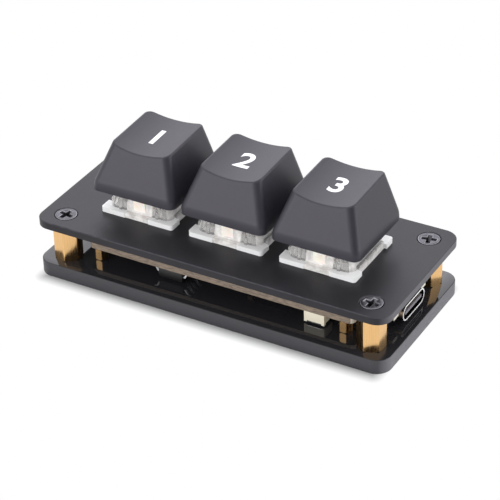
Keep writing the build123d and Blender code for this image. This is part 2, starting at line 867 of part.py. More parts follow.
save("boot_switch_cover", under_board(boot_place, [boot_cover()]))
save("boot_button", under_board(boot_place, [boot_button()]))

key_pieces = {
    "lower_housing": [lower_housing()],
    "upper_housing": [upper_housing()],
    "light_guide": [light_guide()],
    "key_led": [key_led()],
    "stem": [stem()],
    "spring": [spring()],
    "contacts": contacts(),
    "keycap": [keycap()],
}
for name, (x, y) in zip(key_names, key_places):
    for piece, solids in key_pieces.items():
        save(f"{piece}_{name}", [Pos(x, y, plate_top) * solid for solid in solids])
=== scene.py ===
from math import pi, radians, sqrt, tau

import bmesh
import bpy
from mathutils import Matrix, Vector


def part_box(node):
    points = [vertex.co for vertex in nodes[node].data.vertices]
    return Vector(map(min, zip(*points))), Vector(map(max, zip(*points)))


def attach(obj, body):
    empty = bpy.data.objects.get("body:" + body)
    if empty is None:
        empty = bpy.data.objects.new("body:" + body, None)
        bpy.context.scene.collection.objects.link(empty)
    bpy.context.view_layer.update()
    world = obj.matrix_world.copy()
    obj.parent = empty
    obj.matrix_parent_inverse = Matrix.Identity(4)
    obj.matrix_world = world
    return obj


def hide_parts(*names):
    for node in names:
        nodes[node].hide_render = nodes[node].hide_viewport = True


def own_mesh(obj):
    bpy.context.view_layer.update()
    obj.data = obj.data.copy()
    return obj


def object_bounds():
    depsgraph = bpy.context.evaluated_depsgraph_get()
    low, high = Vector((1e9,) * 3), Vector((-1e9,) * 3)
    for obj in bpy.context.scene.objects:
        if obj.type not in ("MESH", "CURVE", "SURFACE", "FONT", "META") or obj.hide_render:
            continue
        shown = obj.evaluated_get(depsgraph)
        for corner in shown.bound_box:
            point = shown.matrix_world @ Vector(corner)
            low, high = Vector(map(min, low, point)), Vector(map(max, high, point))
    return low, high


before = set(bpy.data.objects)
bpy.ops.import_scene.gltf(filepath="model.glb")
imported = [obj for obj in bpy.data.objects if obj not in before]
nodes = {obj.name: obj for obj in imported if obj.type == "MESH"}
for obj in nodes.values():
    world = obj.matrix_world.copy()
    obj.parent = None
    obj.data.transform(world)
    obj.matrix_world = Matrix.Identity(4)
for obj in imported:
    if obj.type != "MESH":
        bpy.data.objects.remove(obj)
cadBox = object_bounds()  # the solids' own box
mm = 0.001
close = 0.001 * mm  # nearer than this is the same place
hair = 0.01 * mm  # too small to see
white = (1.0, 1.0, 1.0, 1.0)
keyNames = ("left", "middle", "right")
print("frame loaded:", len(nodes), "nodes")


# shader values, which are added and compared like numbers

class Shade:  # wraps a socket, so that sums on it add Math nodes
    def __init__(self, tree, socket):
        self.tree = tree
        self.socket = socket

    def sum(self, operation, first, second=0.0):
        return addNode(self.tree, "ShaderNodeMath", {"operation": operation}, {0: first, 1: second})

    def __add__(self, other):
        return self.sum("ADD", self, other)

    def __radd__(self, other):
        return self.sum("ADD", other, self)

    def __sub__(self, other):
        return self.sum("SUBTRACT", self, other)

    def __rsub__(self, other):
        return self.sum("SUBTRACT", other, self)

    def __mul__(self, other):
        return self.sum("MULTIPLY", self, other)

    def __rmul__(self, other):
        return self.sum("MULTIPLY", other, self)

    def __truediv__(self, other):
        return self.sum("DIVIDE", self, other)

    def __gt__(self, other):
        return self.sum("GREATER_THAN", self, other)

    def __lt__(self, other):
        return self.sum("LESS_THAN", self, other)

    def __abs__(self):
        return self.sum("ABSOLUTE", self)


def plug(tree, entry, value):
    if isinstance(value, Shade):
        tree.links.new(value.socket, entry)
    else:
        entry.default_value = value


def addNode(tree, kind, settings=None, sockets=None, output=0):  # any node, and one of its outputs
    made = tree.nodes.new(kind)
    for name, value in (settings or {}).items():
        setattr(made, name, value)
    for name, value in (sockets or {}).items():
        plug(tree, made.inputs[name], value)
    return Shade(tree, made.outputs[output])


def tint(code):  # a screen colour such as "5c5b60", as the shader counts it
    parts = [int(code[place:place + 2], 16) / 255 for place in (0, 2, 4)]
    return tuple(p / 12.92 if p < 0.04045 else ((p + 0.055) / 1.055) ** 2.4 for p in parts) + (1.0,)


def darker(colour, share):
    return tuple(part * share for part in colour[:3]) + (1.0,)


def grey(tone):
    return (tone,) * 3 + (1.0,)


noiseGrit = 0.55  # roughness of every noise
facingFrom = {"flat": 0.7, "end": 0.5, "fullEnd": 0.95}  # how far a face has to look that way


class Finish:  # one material, and what its patterns are made of
    def __init__(self, name, **sockets):
        self.material = bpy.data.materials.new(name)
        self.material.use_nodes = True
        self.tree = self.material.node_tree
        self.shader = self.tree.nodes["Principled BSDF"]
        self.place = self.node("ShaderNodeTexCoord", output="Object")
        self.set(**sockets)

    def set(self, **sockets):
        for name, value in sockets.items():
            plug(self.tree, self.shader.inputs[name.replace("_", " ")], value)

    def show(self, shader):  # in place of the first shader alone
        plug(self.tree, self.tree.nodes["Material Output"].inputs["Surface"], shader)

    def node(self, kind, settings=None, sockets=None, output=0):
        return addNode(self.tree, kind, settings, sockets, output)

    def stretched(self, scale):  # object coordinates, scaled apart on each axis
        return self.node("ShaderNodeMapping", sockets={"Vector": self.place, "Scale": scale})

    def noise(self, size, detail=3.0, place=None):
        sockets = {
            "Vector": place or self.place,
            "Scale": 1 / size,
            "Detail": detail,
            "Roughness": noiseGrit,
        }
        return self.node("ShaderNodeTexNoise", sockets=sockets, output="Fac")

    def spread(self, value, low, high, start=0.35, end=0.65):  # a noise, stretched between two values
        sockets = {"Value": value, "From Min": start, "From Max": end, "To Min": low, "To Max": high}
        return self.node("ShaderNodeMapRange", {"clamp": True}, sockets, "Result")

    def blend(self, share, first, second):
        sockets = {0: share, 6: first, 7: second}
        return self.node("ShaderNodeMix", {"data_type": "RGBA"}, sockets, 2)

    def mottle(self, noise, first, second):  # two colours, clouded by a noise
        return self.blend(self.spread(noise, 0.0, 1.0), first, second)

    def colour(self):  # what feeds the base colour so far
        return Shade(self.tree, self.shader.inputs["Base Color"].links[0].from_socket)

    def bump(self, height, depth):
        sockets = {"Height": height, "Distance": depth, "Strength": 1.0}
        return self.node("ShaderNodeBump", sockets=sockets, output="Normal")

    def facing(self, axis="Z"):  # how far the face looks along an axis, from -1 to 1
        normal = self.node("ShaderNodeNewGeometry", output="Normal")
        return self.node("ShaderNodeSeparateXYZ", sockets={"Vector": normal}, output=axis)

    def along(self, axis):  # the place along an axis
        return self.node("ShaderNodeSeparateXYZ", sockets={"Vector": self.place}, output=axis)

    def edges(self, least, most):  # sloping faces, between upright and flat
        tip = abs(self.facing())
        return (tip > least) * (tip < most)

    def sides(self):  # one on upright faces, none on flat ones
        return 1 - (abs(self.facing()) > facingFrom["flat"])

    # faces towards the right end, which the finishes paint paler as if lit from the right
    def litRightEnd(self):
        return self.spread(self.facing("X"), 0.0, 1.0, facingFrom["end"], facingFrom["fullEnd"])


def dress(finish, *names):  # gives CAD nodes a finish
    for name in names:
        for holder in nodes[name].material_slots:
            holder.material = finish.material


def perKey(*pieces):
    return [f"{piece}_{key}" for piece in pieces for key in keyNames]


# finishes: plastics and metals

coolGlint = (0.95, 0.92, 1.0, 1.0)
plasticLook = {
    "clouds": 0.94,  # share of the colour that they keep
    "cloudSize": 4 * mm,
    "vary": 0.05,  # in roughness, up and down
}
metalLook = {
    "lines": 0.9,  # share of the colour that they keep
    "smoother": 0.04,
    "rougher": 0.06,
}


def moulded(name, code, roughness, grain, depth, **sockets):  # plastic with a fine eroded grain
    look = plasticLook
    finish = Finish(name, **sockets)
    cloud = finish.noise(look["cloudSize"])
    fine = finish.noise(grain, detail=2.0)
    finish.set(
        Base_Color=finish.mottle(cloud, darker(tint(code), look["clouds"]), tint(code)),
        Roughness=finish.spread(fine, roughness - look["vary"], roughness + look["vary"]),
        Normal=finish.bump(fine, depth),
    )
    return finish


def metal(name, code, roughness, brushed, depth, gleam=1.0):  # brushed: lines to the metre on each axis
    look = metalLook
    finish = Finish(name, Metallic=gleam)
    lines = finish.noise(1.0, detail=2.0, place=finish.stretched(brushed))
    finish.set(
        Base_Color=finish.mottle(lines, darker(tint(code), look["lines"]), tint(code)),
        Roughness=finish.spread(lines, roughness - look["smoother"], roughness + look["rougher"]),
        Normal=finish.bump(lines, depth),
    )
    return finish


pulled = (5000.0, 5000.0, 150.0)  # fine lines up a hexagonal bar
drawn = (600.0, 6000.0, 6000.0)  # fine lines along a piece drawn in X
even = (3000.0, 3000.0, 3000.0)
coarser = (2500.0, 2500.0, 2500.0)


# finishes: black screws, paler along the edges of head and cross, for wear and a painted highlight

screwLook = {
    "black": "5c5b60",
    "wornHighlight": "9c9ba1",
    "edges": (0.75, 0.975),
    "roughness": 0.34,
    "depth": 0.001 * mm,
}


def blackened():
    look = screwLook
    finish = metal("screwBlack", look["black"], look["roughness"], coarser, look["depth"])
    # the edges of head and cross are painted paler, partly wear and partly a painted highlight
    wornHighlight = finish.edges(*look["edges"])
    finish.set(Base_Color=finish.blend(wornHighlight, finish.colour(), tint(look["wornHighlight"])))
    return finish


# finishes: satin black sheet with a fine blasted grain, edges paler for wear and a painted highlight

plateLook = {
    "faces": ("17171a", "1d1d21"),
    "plateLitEnd": "4c4b50",  # the right end, painted paler as if lit from the right
    "wornHighlight": "36353a",
    "edges": (0.4, 0.92),
    "wornHighlightPatches": (0.3, 1.0),
    "wornHighlightPatchSize": 1.2 * mm,
    "cloudSize": 9 * mm,
    "grain": 0.09 * mm,
    "roughness": (0.37, 0.47),
    "depth": 0.0025 * mm,
    "shine": 0.38,
}


def anodised():
    look = plateLook
    finish = Finish("plateBlack", Specular_IOR_Level=look["shine"], Specular_Tint=coolGlint)
    grain = finish.noise(look["grain"], detail=2.0)
    face = finish.mottle(finish.noise(look["cloudSize"]), *map(tint, look["faces"]))
    # the right end is painted paler, as if lit from the right
    face = finish.blend(finish.litRightEnd(), face, tint(look["plateLitEnd"]))
    # the edges are painted paler in patches, partly wear and partly a painted highlight
    wornHighlightPatches = finish.spread(finish.noise(look["wornHighlightPatchSize"]), *look["wornHighlightPatches"])
    wornHighlight = finish.edges(*look["edges"]) * wornHighlightPatches
    finish.set(
        Base_Color=finish.blend(wornHighlight, face, tint(look["wornHighlight"])),
        Roughness=finish.spread(grain, *look["roughness"]),
        Normal=finish.bump(grain, look["depth"]),
    )
    return finish


# finishes: glossy sheet with polished faces and satin cut edges

baseLook = {
    "face": "262629",
    "cut": "323136",
    "litEnd": "5c5b61",  # the right end, painted paler as if lit from the right
    "polish": 0.04,
    "satin": (0.36, 0.5),
    "lines": (900.0, 900.0, 7000.0),
    "depth": 0.003 * mm,
}


def acrylic():
    look = baseLook
    finish = Finish("baseGloss")
    side = finish.sides()
    # the right end of the cut edges is painted paler, as if lit from the right
    cut = finish.blend(finish.litRightEnd(), tint(look["cut"]), tint(look["litEnd"]))
    lines = finish.noise(1.0, detail=2.0, place=finish.stretched(look["lines"]))
    finish.set(
        Base_Color=finish.blend(side, tint(look["face"]), cut),
        Roughness=look["polish"] + side * finish.spread(lines, *look["satin"]),
        Normal=finish.bump(lines * side, look["depth"]),
    )
    return finish


# finishes: board with a black mask on both faces and a brown cut edge with its layers

boardLook = {
    "mask": ("161618", "1f1f22"),
    "layers": ("6f6258", "9a8a78"),
    "litEnd": "d9d3c8",  # the right end, painted paler than the front as if lit from the right
    "cloudSize": 3 * mm,
    "lines": (800.0, 800.0, 5000.0),
    "gloss": 0.28,
    "cutRougher": 0.4,
    "depth": 0.01 * mm,
}


def laminate():
    look = boardLook
    finish = Finish("boardMask")
    side = finish.sides()
    layers = finish.noise(1.0, place=finish.stretched(look["lines"]))
    cut = finish.mottle(layers, *map(tint, look["layers"]))
    # right-facing cut edges are painted paler, as if lit from the right
    cut = finish.blend(finish.facing("X") > facingFrom["end"], cut, tint(look["litEnd"]))
    face = finish.mottle(finish.noise(look["cloudSize"]), *map(tint, look["mask"]))
    finish.set(
        Base_Color=finish.blend(side, face, cut),
        Roughness=look["gloss"] + side * look["cutRougher"],
        Normal=finish.bump(layers * side, look["depth"]),
    )
    return finish


# finishes: clear moulded plastic, painted milky round the light guide as a painted reflection of it

clearLook = {
    "tone": (0.98, 0.985, 0.99, 1.0),
    "bend": 1.5,  # index of refraction
    "flow": 1.5 * mm,
    "roughness": (0.04, 0.1),
    "depth": 0.012 * mm,
    "pitch": 19.05 * mm,  # from switch to switch
    "half": 2.75 * mm,  # of the front painted milky, to each side of a switch's middle
    "front": -4.6 * mm,
    "guideReflectionShare": 0.6,  # share of milky white there, a painted reflection of the guide
    "elsewhere": 0.16,
    "sides": 0.3,
    "uneven": (0.7, 1.2),
}
frostAndReflectionLook = {"tone": "fbf8f5", "roughness": 0.3, "glow": 0.1}  # the glow stands for scattered light


def clear():
    look = clearLook
    finish = Finish("housingClear", Base_Color=look["tone"], Transmission_Weight=1.0, IOR=look["bend"])
    flow = finish.noise(look["flow"])
    finish.set(
        Roughness=finish.spread(flow, *look["roughness"]),
        Normal=finish.bump(flow, look["depth"]),
    )
    frostAndReflection = finish.node("ShaderNodeBsdfPrincipled", sockets={
        "Base Color": tint(frostAndReflectionLook["tone"]),
        "Roughness": frostAndReflectionLook["roughness"],
        "Emission Color": white,
        "Emission Strength": frostAndReflectionLook["glow"],
    })
    turns = finish.along("X") / look["pitch"]
    aside = abs(turns - turns.sum("ROUND", turns)) * look["pitch"]
    # the front round each guide is painted milky white, standing for the guide seen through the wall
    # and its reflection
    middle = (aside < look["half"]) * (finish.along("Y") < look["front"])
    share = look["elsewhere"] + middle * (look["guideReflectionShare"] - look["elsewhere"])
    share = share + (abs(finish.facing("X")) > facingFrom["end"]) * look["sides"]
    share = share * finish.spread(flow, *look["uneven"])
    body = Shade(finish.tree, finish.shader.outputs[0])
    finish.show(finish.node("ShaderNodeMixShader", sockets={0: share, 1: body, 2: frostAndReflection}))
    return finish


# finishes: the socket's black block with a paler tongue, and its steel shell

coreLook = {
    "block": ("19191b", "1f1f21"),
    "tongue": "77757b",
    "blockLength": 1.7 * mm,
    "grain": 0.2 * mm,
    "roughness": (0.35, 0.45),
    "depth": 0.002 * mm,
}
steelLook = {
    "outsideDarkReflection": "7c7c80",
    "ears": "4a4a4e",
    "shadedThroat": "303033",
    "rim": "fafafa",
    "rimSatinAndHighlight": 0.6,
    "half": 4.5 * mm,  # to each side of the middle, with the ears beyond
    "roughness": 0.28,
    "depth": 0.0005 * mm,
}


def socketCore():
    look = coreLook
    finish = Finish("socketBlack")
    fine = finish.noise(look["grain"], detail=2.0)
    tongue = finish.along("X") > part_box("usb_insulator")[0].x + look["blockLength"]
    black = finish.mottle(fine, *map(tint, look["block"]))
    finish.set(
        Base_Color=finish.blend(tongue, black, tint(look["tongue"])),
        Roughness=finish.spread(fine, *look["roughness"]),
        Normal=finish.bump(fine, look["depth"]),
    )
    return finish


def drawnSteel():  # satin rim painted bright as a highlight, throat painted as shade, outside painted as dark reflection, darker ears
    look = steelLook
    # the outside is painted darker than bare steel, standing for the dark it reflects
    finish = metal("socketSteel", look["outsideDarkReflection"], look["roughness"], drawn, look["depth"])
    low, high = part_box("usb_shell")
    rise = finish.along("Z") - (low.z + high.z) / 2
    inward = (finish.facing("Y") * finish.along("Y") + finish.facing("Z") * rise) < 0.0
    barrel = abs(finish.along("Y")) < look["half"]
    rim = barrel * (finish.facing("X") > facingFrom["end"])
    shade = finish.blend(barrel, tint(look["ears"]), finish.colour())
    # the throat is painted dark, standing for the shade inside the mouth
    shade = finish.blend(inward * barrel, shade, tint(look["shadedThroat"]))
    finish.set(
        # the cut rim is satin and painted near white, standing for its highlight
        Base_Color=finish.blend(rim, shade, tint(look["rim"])),
        Metallic=1 - rim * look["rimSatinAndHighlight"],
    )
    return finish


# finishes: pale light guide

guideLook = {
    "pale": ("fdeee2", "fff8f2"),
    "glowTone": "ffe8d8",
    "glow": 0.08,  # stands for the light it pipes
    "milk": 0.4,
    "scatter": 0.5 * mm,
    "cloudSize": 1.2 * mm,
    "roughness": (0.2, 0.3),
}


def milky():
    look = guideLook
    finish = Finish("guideMilk", Subsurface_Weight=look["milk"], Subsurface_Scale=look["scatter"])
    cloud = finish.noise(look["cloudSize"])
    finish.set(
        Base_Color=finish.mottle(cloud, *map(tint, look["pale"])),
        Roughness=finish.spread(cloud, *look["roughness"]),
        Emission_Color=tint(look["glowTone"]),
        Emission_Strength=look["glow"],
    )
    return finish


capCharcoal = moulded("capCharcoal", "2a2930", 0.4, 0.12 * mm, 0.006 * mm, Specular_Tint=coolGlint)
housingWhite = moulded("housingWhite", "fcfcfc", 0.36, 0.3 * mm, 0.003 * mm)
stemBrown = moulded("stemBrown", "8a4a38", 0.35, 0.3 * mm, 0.002 * mm)
bootCream = moulded("bootCream", "f3ecd6", 0.45, 0.2 * mm, 0.003 * mm)
chipBlack = moulded("chipBlack", "1d1d1f", 0.55, 0.08 * mm, 0.004 * mm)
brass = metal("brass", "f2c488", 0.2, pulled, 0.0002 * mm)
tinned = metal("tinned", "dcdcdc", 0.22, even, 0.001 * mm)
leadBright = metal("leadBright", "fafafa", 0.4, even, 0.001 * mm, gleam=0.3)
contactGold = metal("contactGold", "d9b070", 0.2, drawn, 0.0005 * mm)
springSteel = metal("springSteel", "b8b8bb", 0.22, even, 0.0005 * mm)
plateBlack = anodised()
baseGloss = acrylic()
boardMask = laminate()
housingClear = clear()
screwBlack = blackened()
socketBlack = socketCore()
socketSteel = drawnSteel()
guideMilk = milky()
ledWhite = moulded("ledWhite", "efe9d6", 0.4, 0.2 * mm, 0.002 * mm)
capacitorTan = moulded("capacitorTan", "a58560", 0.5, 0.2 * mm, 0.003 * mm)
resistorBlack = moulded("resistorBlack", "222224", 0.3, 0.2 * mm, 0.002 * mm)
legendWhite = moulded("legendWhite", "f4f3f6", 0.5, 0.2 * mm, 0.002 * mm)
print("finishes made:", len(bpy.data.materials))


# modelling by hand: one piece at a time is selected and active

def deselect():
    bpy.ops.object.select_all(action="DESELECT")


def alone(piece):
    deselect()
    piece.select_set(True)
    bpy.context.view_layer.objects.active = piece


def editing(piece):
    alone(piece)
    bpy.ops.object.mode_set(mode="EDIT")
    bpy.ops.mesh.select_all(action="SELECT")


def objectMode():
    bpy.ops.object.mode_set(mode="OBJECT")


def pick(piece, kind, test):  # in edit mode, selects verts, edges or faces by their place or normal
    bpy.ops.mesh.select_mode(type={"verts": "VERT", "edges": "EDGE", "faces": "FACE"}[kind])
    bpy.ops.mesh.select_all(action="DESELECT")
    shape = bmesh.from_edit_mesh(piece.data)
    for part in getattr(shape, kind):
        part.select_set(test(part))
    bmesh.update_edit_mesh(piece.data)


straight = 0.9  # a normal that goes this far along Z looks up, or down


def looksUp(face):
    return face.normal.z > straight


def looksDown(face):
    return face.normal.z < -straight


def looksUpOrDown(face):
    return abs(face.normal.z) > straight


def level(edge, *heights):  # an edge that lies at one of the heights
    return any(all(abs(corner.co.z - height) < close for corner in edge.verts) for height in heights)


def upright(edge):
    first, second = (corner.co for corner in edge.verts)
    return (first.xy - second.xy).length < close


def extrude(step):
    bpy.ops.mesh.extrude_region_move(TRANSFORM_OT_translate={"value": step})


def shrink(share):  # draws what is selected in towards the upright axis
    bpy.ops.transform.resize(value=(share, share, 1.0), center_override=(0.0, 0.0, 0.0))


def bevel(piece, test, **settings):  # breaks the edges that the test picks
    editing(piece)
    pick(piece, "edges", test)
    bpy.ops.mesh.bevel(**settings)
    objectMode()


def modify(piece, kind, **settings):  # adds a modifier and applies it
    alone(piece)
    change = piece.modifiers.new(kind, kind)
    for name, value in settings.items():
        setattr(change, name, value)
    bpy.ops.object.modifier_apply(modifier=change.name)


def carve(piece, cutter, operation="DIFFERENCE"):
    modify(piece, "BOOLEAN", object=cutter, operation=operation, solver="EXACT")
    bpy.data.objects.remove(cutter)


def move(piece, place=(0.0, 0.0, 0.0), turn=(0.0, 0.0, 0.0)):  # the object stays at the origin
    piece.location = place
    piece.rotation_euler = turn
    alone(piece)
    bpy.ops.object.transform_apply(location=True, rotation=True, scale=True)


def copied(piece, place, turn=(0.0, 0.0, 0.0)):
    alone(piece)
    bpy.ops.object.duplicate(linked=False)
    twin = bpy.context.object
    move(twin, place, turn)
    return twin


def joined(pieces):
    deselect()
    for piece in pieces:
        piece.select_set(True)
    bpy.context.view_layer.objects.active = pieces[0]
    bpy.ops.object.join()
    return bpy.context.object


# gives a finished piece its name, finish and body, and hides the CAD nodes it stands for
def settle(piece, name, finish=None, body="chassis", stands=(), angle=35.0):
    piece.name = name
    piece.data.name = name
    if finish:
        piece.data.materials.clear()
        piece.data.materials.append(finish.material)
    alone(piece)
    bpy.ops.object.shade_smooth_by_angle(angle=radians(angle))
    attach(piece, body)
    if stands:
        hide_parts(*stands)


def rod(radius, low, high, sides=48):
    deselect()
    bpy.ops.mesh.primitive_cylinder_add(vertices=sides, radius=radius, depth=high - low)
    piece = bpy.context.object
    move(piece, (0.0, 0.0, (low + high) / 2))
    return piece


def brick(low, high):  # a box between two corners
    deselect()
    bpy.ops.mesh.primitive_cube_add(size=1.0)
    piece = bpy.context.object
    piece.scale = [b - a for a, b in zip(low, high)]
    move(piece, [(a + b) / 2 for a, b in zip(low, high)])
    return piece


def roundSlab(length, depth, corner, low, high, segments):  # a plate with round corners
    deselect()
    bpy.ops.mesh.primitive_plane_add(size=1.0)
    piece = bpy.context.object
    piece.scale = (length, depth, 1.0)
    move(piece, (0.0, 0.0, low))
    editing(piece)
    bpy.ops.mesh.bevel(offset=corner, segments=segments, affect="VERTICES")
    bpy.ops.mesh.select_all(action="SELECT")
    extrude((0.0, 0.0, high - low))
    bpy.ops.mesh.select_all(action="SELECT")
    bpy.ops.mesh.normals_make_consistent(inside=False)
    objectMode()
    return piece


# countersunk screws with a cross recess, head up and its face at zero

screwCut = {
    "head": 2.1 * mm,  # radius
    "rim": 0.2 * mm,
    "shank": 1.25 * mm,  # radius
    "edge": 0.14 * mm,
    "span": 3.1 * mm,  # of the cross
    "width": 0.84 * mm,
    "depth": 1.0 * mm,
    "taper": (0.42, 0.7, 1.0),
    "gap": 0.1 * mm,  # round the screw, in the bottom plate
    "sink": 0.13 * mm,  # from the plate's face to the head of the solid
    "lift": {"top_screws": 0.13 * mm, "bottom_screws": 0.02 * mm},  # back out towards the face
    "turns": {(-1, -1): -11.0, (1, -1): -5.0, (-1, 1): 65.0, (1, 1): 12.0},  # by corner
}


def screwForm(length, gap=0.0):
    cut = screwCut
    cone = cut["head"] - cut["shank"]
    piece = rod(cut["head"] + gap, -cut["rim"], 0.0)
    editing(piece)
    pick(piece, "faces", looksDown)
    extrude((0.0, 0.0, -cone))
    shrink((cut["shank"] + gap) / (cut["head"] + gap))
    extrude((0.0, 0.0, cone + cut["rim"] - length))
    objectMode()
    return piece


def crossScrew(length, lift):
    cut = screwCut
    piece = screwForm(length)
    editing(piece)
    pick(piece, "faces", looksUp)
    extrude((0.0, 0.0, lift))
    objectMode()
    along, across = cut["span"] / 2, cut["width"] / 2
    for turn in (0.0, pi / 2):
        wing = brick((-along, -across, -cut["depth"]), (along, across, cut["rim"]))
        editing(wing)
        pick(wing, "faces", looksDown)
        bpy.ops.transform.resize(value=cut["taper"], center_override=(0.0, 0.0, -cut["depth"]))
        objectMode()
        move(wing, turn=(0.0, 0.0, turn))
        carve(piece, wing)
    bevel(piece, lambda edge: level(edge, lift), offset=cut["edge"], segments=2, clamp_overlap=True)
    return piece


def screwCorners(node):  # the four axes, with the turn of each screw
    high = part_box(node)[1]
    reach = high.xy - Vector((screwCut["head"], screwCut["head"]))
    return [(x * reach.x, y * reach.y, radians(turn)) for (x, y), turn in screwCut["turns"].items()]


def screwSet(node, name, finish, flip):
    low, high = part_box(node)
    master = crossScrew(high.z - low.z, screwCut["lift"][node])
    height = low.z if flip else high.z
    copies = [copied(master, (x, y, height), (flip, 0.0, turn)) for x, y, turn in screwCorners(node)]
    bpy.data.objects.remove(master)
    settle(joined(copies), name, finish, stands=(node,))


# hexagonal brass standoffs and slim posts, with burnished edges

standoffCut = {
    "flats": 4.8 * mm,
    "edge": 0.16 * mm,
    "chamfer": 0.25 * mm,
    "bore": 1.35 * mm,
    "turns": {"front_left": 14.0, "front_right": -5.0, "rear_left": 22.0, "rear_right": 36.0},
}
postCut = {
    "flats": 2.4 * mm,
    "edge": 0.08 * mm,
    "chamfer": 0.26 * mm,
    "turn": 30.0,  # a corner to the side, as on the solids
}


def hexagon(cut, height):
    radius = cut["flats"] / sqrt(3)
    piece = rod(radius, 0.0, height, sides=6)
    bevel(piece, upright, offset=cut["edge"], segments=3)
    barrel = rod(radius, 0.0, height, sides=64)  # turns the ends down to a chamfer
    bevel(barrel, lambda edge: level(edge, 0.0, height), offset=cut["chamfer"], segments=1)
    carve(piece, barrel, "INTERSECT")
    if "bore" in cut:
        carve(piece, rod(cut["bore"], -mm, height + mm, sides=32))
    return piece


def standoffs(finish):
    low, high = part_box("standoff_front_left")
    master = hexagon(standoffCut, high.z - low.z)
    for corner, turn in standoffCut["turns"].items():
        node = f"standoff_{corner}"
        low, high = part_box(node)
        middle = (low + high) / 2
        twin = copied(master, (middle.x, middle.y, low.z), (0.0, 0.0, radians(turn)))
        settle(twin, f"{node}_bright", finish, stands=(node,), angle=20.0)
    bpy.data.objects.remove(master)


def boardPosts(finish):
    cut = postCut
    low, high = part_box("board_posts")
    master = hexagon(cut, high.z - low.z)
    across, back = high.x - cut["flats"] / sqrt(3), high.y - cut["flats"] / 2
    turn = (0.0, 0.0, radians(cut["turn"]))
    places = [(x * across, y * back, low.z) for x in (-1, 1) for y in (-1, 1)]
    copies = [copied(master, place, turn) for place in places]
    bpy.data.objects.remove(master)
    settle(joined(copies), "board_posts_bright", finish, stands=("board_posts",), angle=20.0)


# glossy bottom plate with a fine polished edge

baseCut = {"corner": 3.0 * mm, "edge": 0.2 * mm, "segments": 18}


def basePlate(finish):
    low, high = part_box("bottom_plate")
    length, depth, thick = high - low
    piece = roundSlab(length, depth, baseCut["corner"], low.z, high.z, baseCut["segments"])
    bevel(piece, lambda edge: level(edge, low.z, high.z), offset=baseCut["edge"], segments=3)
    sink = screwCut["sink"]
    for x, y, turn in screwCorners("bottom_screws"):
        hole = screwForm(2 * thick, screwCut["gap"])
        editing(hole)  # opens the mouth out to the face of the plate
        pick(hole, "faces", looksUp)
        extrude((0.0, 0.0, sink + hair))
        shrink(1.0 + sink / screwCut["head"])
        objectMode()
        move(hole, (x, y, sink), (pi, 0.0, 0.0))
        carve(piece, hole)
    settle(piece, "bottom_plate_gloss", finish, stands=("bottom_plate",), angle=25.0)


# drawn steel socket with a rolled mouth

socketCut = {
    "wall": 0.3 * mm,
    "rolled": 0.04 * mm,
    "width": 8.94 * mm,
    "earPlaces": (1.8 * mm, 4.8 * mm),
    "earLength": 1.2 * mm,
    "earThick": 0.25 * mm,
    "earEdge": 0.06 * mm,
    "segments": 14,
}


def socketBarrel(low, high):
    cut = socketCut
    length, height = high.x - low.x, high.z - low.z
    piece = roundSlab(height, cut["width"], height / 2 - hair, 0.0, length, cut["segments"])
    editing(piece)
    pick(piece, "faces", looksUpOrDown)
    bpy.ops.mesh.delete(type="FACE")
    objectMode()
    modify(piece, "SOLIDIFY", thickness=cut["wall"], offset=-1.0, use_even_offset=True)
    bevel(piece, lambda edge: level(edge, 0.0, length), offset=cut["rolled"], segments=3)
    move(piece, (low.x, 0.0, (low.z + high.z) / 2), (0.0, pi / 2, 0.0))
    return piece


def socketShell(finish):
    cut = socketCut
    low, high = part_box("usb_shell")
    parts = [socketBarrel(low, high)]
    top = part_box("circuit_board")[0].z  # the ears lie against the board
    for place in cut["earPlaces"]:
        for side in (-1, 1):
            start, end = sorted((side * (cut["width"] / 2 - cut["wall"] / 2), side * high.y))
            x = low.x + place
            ear = brick((x, start, top - cut["earThick"]), (x + cut["earLength"], end, top))
            bevel(ear, lambda edge: True, offset=cut["earEdge"], segments=2)
            parts.append(ear)
    settle(joined(parts), "usb_shell_drawn", finish, stands=("usb_shell",))


# moulded chip bodies, widest where their leads come out

chipCut = {
    "draft": 0.93,
    "edge": 0.06 * mm,
    "mark": 0.4 * mm,  # radius of the dimple
    "markDepth": 0.1 * mm,
    "markInset": 0.8 * mm,
}


def chipBody(node, name, marked, finish):  # marked: on which side the dimple is, or 0 for none
    cut = chipCut
    low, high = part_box(node)
    middle = (low + high) / 2
    piece = brick(low - middle, high - middle)
    editing(piece)
    bpy.ops.mesh.bisect(plane_co=(0.0, 0.0, 0.0), plane_no=(0.0, 0.0, 1.0))
    pick(piece, "faces", looksUpOrDown)
    shrink(cut["draft"])
    pick(piece, "edges", lambda edge: any(abs(corner.co.z) > hair for corner in edge.verts))
    bpy.ops.mesh.bevel(offset=cut["edge"], segments=2)
    objectMode()
    if marked:
        under = (low - middle).z
        dimple = rod(cut["mark"], under - mm, under + cut["markDepth"], sides=24)
        spot = (low - middle) * cut["draft"] + Vector((cut["markInset"], cut["markInset"], 0.0))
        move(dimple, (spot.x, marked * spot.y, 0.0))
        carve(piece, dimple)
    move(piece, middle)
    settle(piece, name, finish, stands=(node,), angle=25.0)


# small two-ended parts, with tinned ends a little proud of the body

chipPart = {
    "length": 1.6 * mm,
    "width": 0.8 * mm,
    "end": 0.3 * mm,
    "slim": 0.94,
    "edge": 0.04 * mm,
    "gap": 1.0 * mm,  # from the chip that it stands beside
    "step": 1.8 * mm,
}


